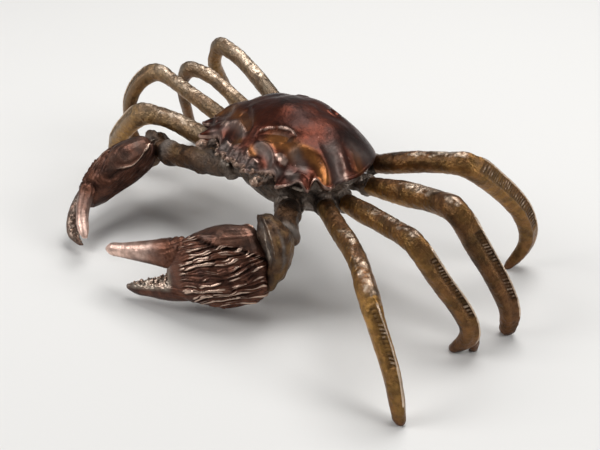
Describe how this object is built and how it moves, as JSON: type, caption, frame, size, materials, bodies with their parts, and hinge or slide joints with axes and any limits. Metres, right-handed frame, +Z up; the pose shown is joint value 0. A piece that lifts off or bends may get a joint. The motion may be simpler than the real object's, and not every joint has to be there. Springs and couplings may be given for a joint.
{
  "type": "crab figurine",
  "caption": "Standing crab ornament in cast bronze: domed toothed shell on an underbody, stalked eyes, two furred claws and eight arched legs that it rests on.",
  "frame": {"origin": "middle of the whole crab's bounding box, on the surface that its feet stand on", "axes": "+Z up, the crab faces -Y and its left side is +X"},
  "size_m": [0.1388, 0.0912, 0.0405],
  "materials": {
    "shell_bronze": "satin red-brown patina, rubbed on its high spots",
    "underside_bronze": "rough grey-brown cast skin",
    "eye_bronze": "polished tips",
    "limb_bronze": "golden brown patina",
    "claw_bronze": "red-brown patina over chased fur",
    "fingertip_bronze": "polished copper-pink metal",
    "leg_bronze": "golden brown patina with dark patches"
  },
  "bodies": {
    "root": {"carapace": "shell_bronze", "underbody": "underside_bronze", "eye_left": "eye_bronze", "arm_left": "limb_bronze", "wrist_left": "limb_bronze", "claw_left": "claw_bronze", "finger_left": "fingertip_bronze", "leg_left_1": "leg_bronze", "leg_left_2": "leg_bronze", "leg_left_3": "leg_bronze", "leg_left_4": "leg_bronze", "eye_right": "eye_bronze", "arm_right": "limb_bronze", "wrist_right": "limb_bronze", "claw_right": "claw_bronze", "finger_right": "fingertip_bronze", "leg_right_1": "leg_bronze", "leg_right_2": "leg_bronze", "leg_right_3": "leg_bronze", "leg_right_4": "leg_bronze"}
  },
  "joints": []
}
